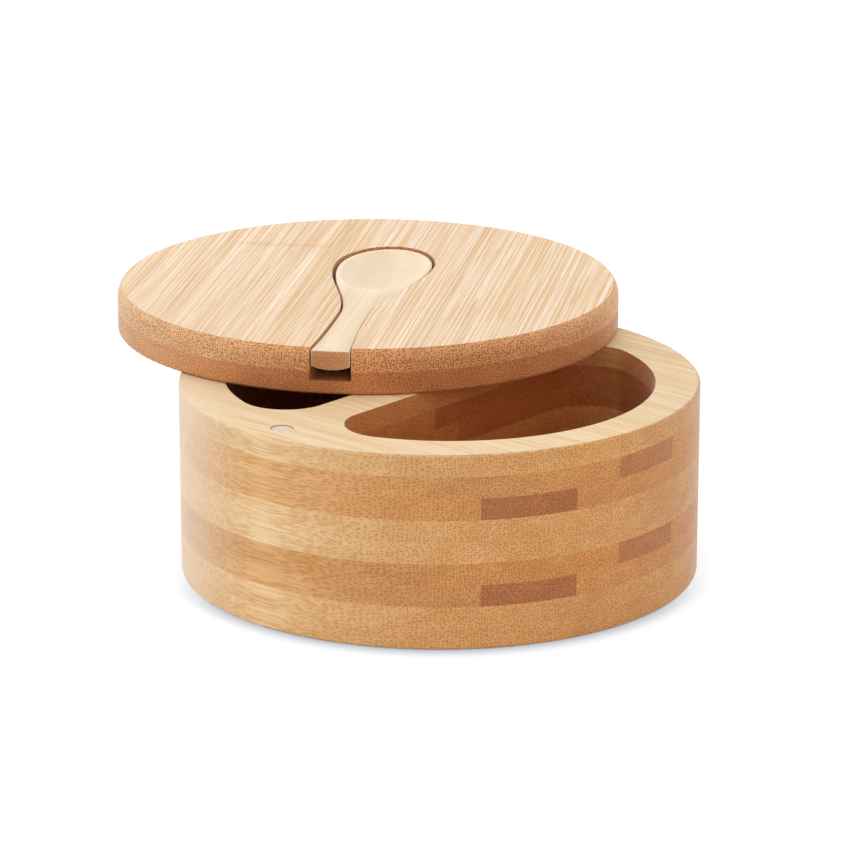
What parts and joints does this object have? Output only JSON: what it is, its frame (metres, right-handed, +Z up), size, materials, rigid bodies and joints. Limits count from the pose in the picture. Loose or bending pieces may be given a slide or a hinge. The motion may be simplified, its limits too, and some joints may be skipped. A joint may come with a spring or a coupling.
{
  "type": "salt box with swivel lid",
  "caption": "Round bamboo salt box with D-shaped compartments, a flat lid that swivels on a hidden upright pin, and a small spoon lying in a recess in the lid.",
  "frame": {"origin": "centre of the underside", "axes": "+Z up; -Y towards the magnet in the rim, +Y towards the pin that the lid swivels on; the bar between the compartments runs along Y"},
  "size_m": [0.1689, 0.1484, 0.058],
  "materials": {
    "bamboo_pale": "satin, light bamboo board",
    "bamboo_warm": "satin, mid-tone bamboo board",
    "bamboo_dark": "satin, dark bamboo board",
    "bamboo_lid": "satin, pale bamboo with fine straight grain",
    "bamboo_spoon": "smooth sanded bamboo",
    "magnet": "dull nickel plate",
    "steel": "turned",
    "brass": "turned"
  },
  "bodies": {
    "base": {"base_board_1": "bamboo_warm", "base_board_2": "bamboo_pale", "base_board_3": "bamboo_dark", "base_board_4": "bamboo_warm", "base_board_5": "bamboo_pale", "base_board_6": "bamboo_pale", "base_board_7": "bamboo_dark", "base_board_8": "bamboo_warm", "base_board_9": "bamboo_pale", "base_magnet": "magnet", "pivot_pin": "steel"},
    "lid": {"lid_lower_board": "bamboo_warm", "lid_upper_board": "bamboo_lid", "lid_magnet": "magnet", "pivot_sleeve": "brass"},
    "spoon": {"spoon": "bamboo_spoon"}
  },
  "joints": [
    {"name": "lid_swing", "type": "hinge", "parent": "base", "child": "lid", "pos_m": [0, 0.053, 0.047], "axis": [0, 0, 1], "continuous": true},
    {"name": "spoon_lift", "type": "slide", "parent": "lid", "child": "spoon", "axis": [0, 0, 1], "range_m": [0, 0.04]}
  ]
}
